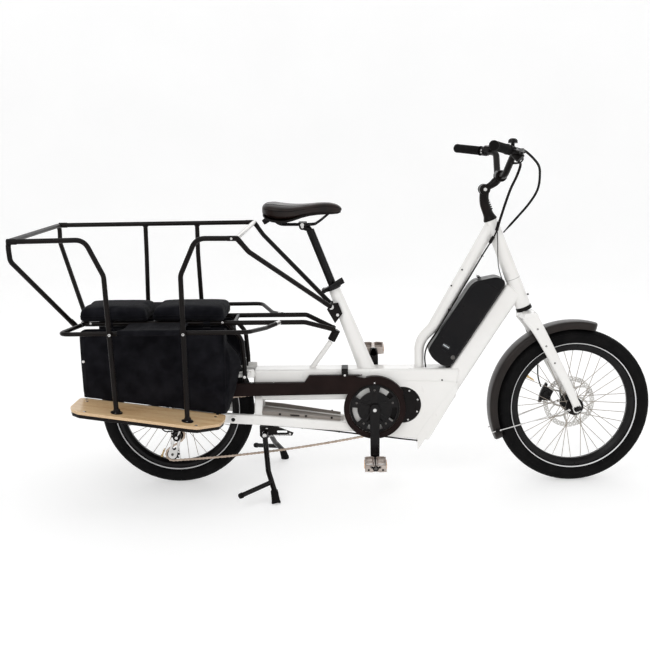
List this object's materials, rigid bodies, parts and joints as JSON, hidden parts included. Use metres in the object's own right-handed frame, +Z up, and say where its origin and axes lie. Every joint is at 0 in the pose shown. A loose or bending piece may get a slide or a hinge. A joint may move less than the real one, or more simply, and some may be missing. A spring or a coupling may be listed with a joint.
{
  "type": "cargo bicycle",
  "caption": "Longtail electric cargo bicycle with step-through frame, rear passenger rack with cage, panniers, footboards and centre stand.",
  "frame": {"origin": "on the ground under the middle of the bicycle's outer box", "axes": "+X forward, +Y to the rider's left, +Z up"},
  "size_m": [2.0797, 0.698, 1.1653],
  "materials": {
    "white_paint": "gloss",
    "black_tube": "satin powder coat",
    "black_plastic": "satin",
    "dark_guard": "satin",
    "rubber": "matte",
    "grip_rubber": "matte",
    "rim_black": "satin",
    "steel": "brushed",
    "alloy": "satin",
    "chain_steel": "bronzed",
    "black_fabric": "matte weave",
    "black_vinyl": "satin grain",
    "birch": "clear lacquer"
  },
  "bodies": {
    "frame": {"frame": "white_paint", "motor": "black_plastic", "chain_guard": "dark_guard", "rack": "black_tube", "cage_hoop_rear": "black_tube", "cage_post_rear": "black_tube", "cage_post_front": "black_tube", "cage_left": "black_tube", "cage_front_stays": "black_tube", "side_rail_left": "black_tube", "side_rail_right": "black_tube", "footboard_left": "birch", "footboard_right": "birch", "tray_left": "black_tube", "tray_right": "black_tube", "pannier_left": "black_fabric", "pannier_right": "black_fabric", "cushion_rear": "black_fabric", "cushion_front": "black_fabric", "stand_bracket": "black_tube", "rear_calliper": "black_tube", "seat_collar": "black_plastic", "derailleur_body": "black_plastic", "cable_bundle": "black_plastic", "brake_hose": "black_plastic", "chain": "chain_steel"},
    "battery": {"battery": "black_plastic"},
    "collar_lever": {"collar_lever": "black_plastic"},
    "seat": {"seat_post": "black_tube", "saddle": "black_vinyl"},
    "steering": {"fork": "white_paint", "stem_base": "black_tube", "front_fender": "dark_guard", "front_calliper": "black_tube"},
    "handlebar": {"stem_arm": "black_tube", "handlebar": "black_tube", "grip_left": "grip_rubber", "grip_right": "grip_rubber", "controls_left": "black_plastic", "controls_right": "black_plastic"},
    "brake_lever_left": {"brake_lever_left": "black_tube"},
    "brake_lever_right": {"brake_lever_right": "black_tube"},
    "shift_lever": {"shift_lever": "black_plastic"},
    "bell": {"bell": "black_plastic"},
    "front_wheel": {"front_tyre": "rubber", "front_wheel": "rim_black", "front_rotor": "steel"},
    "rear_wheel": {"rear_tyre": "rubber", "rear_wheel": "rim_black", "rear_rotor": "steel"},
    "cassette": {"cassette": "steel"},
    "crank": {"chainring": "black_tube", "crank_left": "black_tube", "crank_right": "black_tube"},
    "pedal_left": {"pedal_left": "alloy"},
    "pedal_right": {"pedal_right": "alloy"},
    "derailleur_cage": {"derailleur_cage": "alloy"},
    "guide_pulley": {"guide_pulley": "black_plastic"},
    "tension_pulley": {"tension_pulley": "black_plastic"},
    "kickstand": {"kickstand": "black_tube"}
  },
  "joints": [
    {"name": "steering_turn", "type": "hinge", "parent": "frame", "child": "steering", "pos_m": [0.49015, 0, 0.895], "axis": [-0.3637, 0, 0.9315], "range_deg": [-55, 45], "deforming": ["cable_bundle", "brake_hose"]},
    {"name": "stem_tilt", "type": "hinge", "parent": "steering", "child": "handlebar", "pos_m": [0.46761, 0.00118, 0.99698], "axis": [-0.0682, 0.9973, -0.0266], "range_deg": [-20, 35]},
    {"name": "brake_left", "type": "hinge", "parent": "handlebar", "child": "brake_lever_left", "pos_m": [0.53082, 0.22505, 1.11145], "axis": [0.0474, -0.0446, 0.9979], "range_deg": [0, 13], "stiffness_Nm_per_rad": 2},
    {"name": "brake_right", "type": "hinge", "parent": "handlebar", "child": "brake_lever_right", "pos_m": [0.56029, -0.20561, 1.12295], "axis": [-0.0373, -0.1036, -0.9939], "range_deg": [0, 13], "stiffness_Nm_per_rad": 2},
    {"name": "shift_press", "type": "hinge", "parent": "handlebar", "child": "shift_lever", "pos_m": [0.56276, -0.17889, 1.09442], "axis": [0.6073, -0.3869, -0.6939], "range_deg": [0, 25], "stiffness_Nm_per_rad": 0.5},
    {"name": "bell_twist", "type": "hinge", "parent": "handlebar", "child": "bell", "pos_m": [0.53564, -0.15437, 1.14771], "axis": [0.0373, 0.1036, 0.9939], "range_deg": [0, 40], "stiffness_Nm_per_rad": 0.2},
    {"name": "front_wheel_spin", "type": "hinge", "parent": "steering", "child": "front_wheel", "pos_m": [0.77755, 0.00278, 0.26296], "axis": [-0.0682, 0.9973, -0.0266], "continuous": true},
    {"name": "rear_wheel_spin", "type": "hinge", "parent": "frame", "child": "rear_wheel", "pos_m": [-0.57435, 0, 0.263], "axis": [0, 1, 0], "continuous": true},
    {"name": "crank_spin", "type": "hinge", "parent": "frame", "child": "crank", "pos_m": [0.10165, 0, 0.268], "axis": [0, 1, 0], "continuous": true},
    {"name": "cassette_spin", "type": "hinge", "parent": "frame", "child": "cassette", "pos_m": [-0.57435, 0, 0.263], "axis": [0, 1, 0], "continuous": true},
    {"name": "pedal_left_spin", "type": "hinge", "parent": "crank", "child": "pedal_left", "pos_m": [0.10165, 0.13, 0.438], "axis": [0, 1, 0], "continuous": true},
    {"name": "pedal_right_spin", "type": "hinge", "parent": "crank", "child": "pedal_right", "pos_m": [0.10165, -0.13, 0.098], "axis": [0, 1, 0], "continuous": true},
    {"name": "derailleur_swing", "type": "hinge", "parent": "frame", "child": "derailleur_cage", "pos_m": [-0.57035, -0.05, 0.178], "axis": [0, 1, 0], "range_deg": [-6, 10], "stiffness_Nm_per_rad": 2, "deforming": ["chain"]},
    {"name": "guide_pulley_spin", "type": "hinge", "parent": "derailleur_cage", "child": "guide_pulley", "pos_m": [-0.57035, -0.05, 0.178], "axis": [0, 1, 0], "continuous": true},
    {"name": "tension_pulley_spin", "type": "hinge", "parent": "derailleur_cage", "child": "tension_pulley", "pos_m": [-0.59085, -0.05, 0.111], "axis": [0, 1, 0], "continuous": true},
    {"name": "stand_fold", "type": "hinge", "parent": "frame", "child": "kickstand", "pos_m": [-0.27115, 0, 0.184], "axis": [0, 1, 0], "range_deg": [0, 85]},
    {"name": "seat_height", "type": "slide", "parent": "frame", "child": "seat", "axis": [-0.3649, 0, 0.9311], "range_m": [-0.12, 0.06]},
    {"name": "collar_open", "type": "hinge", "parent": "frame", "child": "collar_lever", "pos_m": [-0.06503, -0.019, 0.66595], "axis": [-0.3649, 0, 0.9311], "range_deg": [-90, 0]},
    {"name": "battery_release", "type": "slide", "parent": "frame", "child": "battery", "axis": [0, 1, 0], "range_m": [0, 0.12]}
  ],
  "couplings": [
    {"joint": "cassette_spin", "follows": "crank_spin", "ratio": 3.1429},
    {"joint": "guide_pulley_spin", "follows": "crank_spin", "ratio": -4},
    {"joint": "tension_pulley_spin", "follows": "crank_spin", "ratio": 4}
  ]
}
